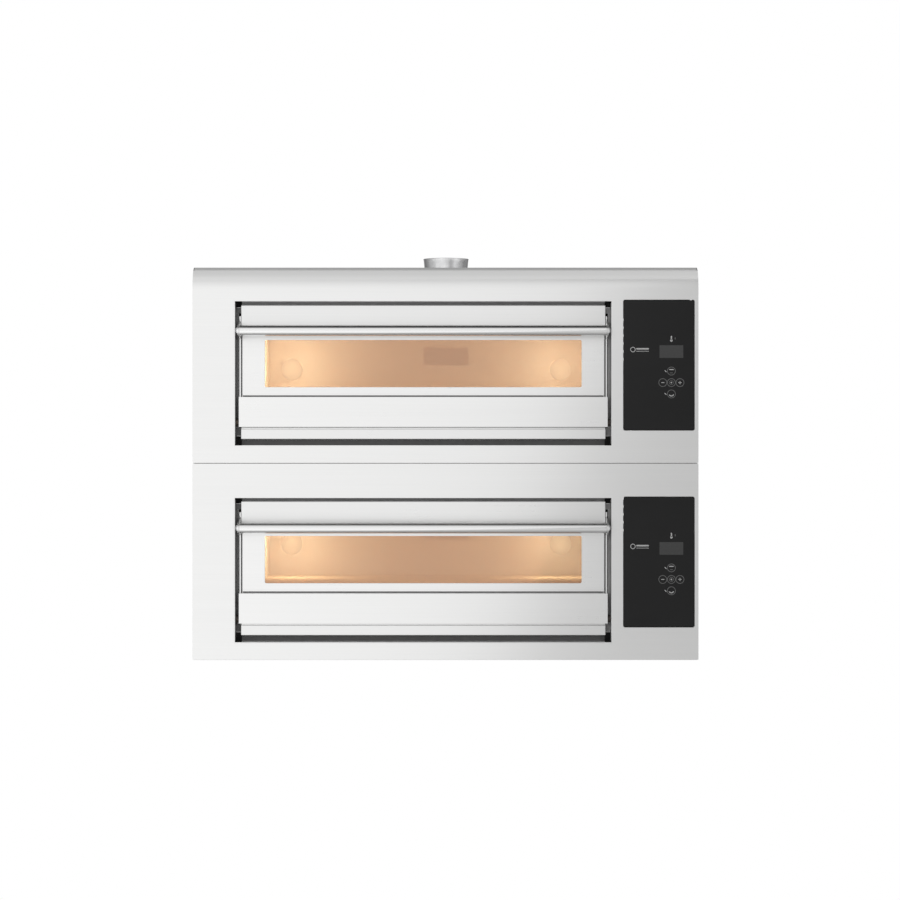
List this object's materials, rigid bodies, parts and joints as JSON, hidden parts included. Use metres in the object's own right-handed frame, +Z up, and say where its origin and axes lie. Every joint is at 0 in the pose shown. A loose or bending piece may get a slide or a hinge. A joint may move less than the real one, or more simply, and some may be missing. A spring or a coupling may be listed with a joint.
{
  "type": "countertop pizza oven",
  "caption": "Stacked electric deck pizza oven in brushed stainless steel with drop-down glazed doors, tubular handles, black glass controls and a roof flue collar.",
  "frame": {"origin": "centre of the whole object's footprint, on the resting plane", "axes": "+X to the right seen from the front, +Y from the doors to the back, +Z up"},
  "size_m": [1, 0.9558, 0.8445],
  "materials": {
    "casing_steel": "brushed stainless steel sheet",
    "trim_steel": "brushed stainless steel sheet",
    "door_steel": "brushed stainless steel sheet",
    "handle_steel": "satin stainless steel tube",
    "polished_steel": "turned and polished stainless steel",
    "chamber_steel": "heat-tinted aluminised steel",
    "baking_stone": "pale refractory stone, matte",
    "element_sheath": "oxidised heating element sheath",
    "mineral_wool": "mineral wool, matte",
    "control_glass": "black back-printed glass",
    "circuit_board": "green laminate with components",
    "bronze_glass": "bronze-tinted heat-reflecting glass",
    "clear_glass": "clear heat-resistant glass",
    "lamp_glass": "frosted warm lamp glass",
    "spring_steel": "oiled spring steel",
    "gland_plastic": "black polyamide"
  },
  "bodies": {
    "casing": {"lower_fascia": "casing_steel", "lower_side_panel_left": "casing_steel", "lower_side_panel_right": "casing_steel", "lower_rear_panel": "casing_steel", "lower_base_tray": "casing_steel", "lower_insulation": "mineral_wool", "lower_control_glass": "control_glass", "lower_control_board": "circuit_board", "lower_lintel_panel": "trim_steel", "lower_kick_panel": "trim_steel", "lower_chamber": "chamber_steel", "lower_stone_left": "baking_stone", "lower_stone_right": "baking_stone", "lower_top_element": "element_sheath", "lower_bottom_element": "element_sheath", "lower_lamp_left": "lamp_glass", "lower_lamp_right": "lamp_glass", "lower_hinge_pin_left": "polished_steel", "lower_hinge_pin_right": "polished_steel", "upper_fascia": "casing_steel", "upper_side_panel_left": "casing_steel", "upper_side_panel_right": "casing_steel", "upper_rear_panel": "casing_steel", "upper_base_tray": "casing_steel", "upper_insulation": "mineral_wool", "upper_control_glass": "control_glass", "upper_control_board": "circuit_board", "upper_lintel_panel": "trim_steel", "upper_kick_panel": "trim_steel", "upper_chamber": "chamber_steel", "upper_stone_left": "baking_stone", "upper_stone_right": "baking_stone", "upper_top_element": "element_sheath", "upper_bottom_element": "element_sheath", "upper_lamp_left": "lamp_glass", "upper_lamp_right": "lamp_glass", "upper_hinge_pin_left": "polished_steel", "upper_hinge_pin_right": "polished_steel", "roof_panel": "casing_steel", "flue_collar": "polished_steel", "exhaust_duct": "chamber_steel", "cable_gland": "gland_plastic"},
    "lower_door": {"lower_door_skin": "door_steel", "lower_door_liner": "chamber_steel", "lower_door_outer_pane": "bronze_glass", "lower_door_inner_pane": "clear_glass", "lower_door_cheek_left": "door_steel", "lower_door_cheek_right": "door_steel", "lower_handle_tube": "handle_steel", "lower_door_spring_left": "spring_steel", "lower_door_spring_right": "spring_steel"},
    "upper_door": {"upper_door_skin": "door_steel", "upper_door_liner": "chamber_steel", "upper_door_outer_pane": "bronze_glass", "upper_door_inner_pane": "clear_glass", "upper_door_cheek_left": "door_steel", "upper_door_cheek_right": "door_steel", "upper_handle_tube": "handle_steel", "upper_door_spring_left": "spring_steel", "upper_door_spring_right": "spring_steel"}
  },
  "joints": [
    {"name": "lower_door_hinge", "type": "hinge", "parent": "casing", "child": "lower_door", "pos_m": [-0.044, -0.4259, 0.081], "axis": [1, 0, 0], "range_deg": [0, 90]},
    {"name": "upper_door_hinge", "type": "hinge", "parent": "casing", "child": "upper_door", "pos_m": [-0.044, -0.4259, 0.47], "axis": [1, 0, 0], "range_deg": [0, 90]}
  ]
}
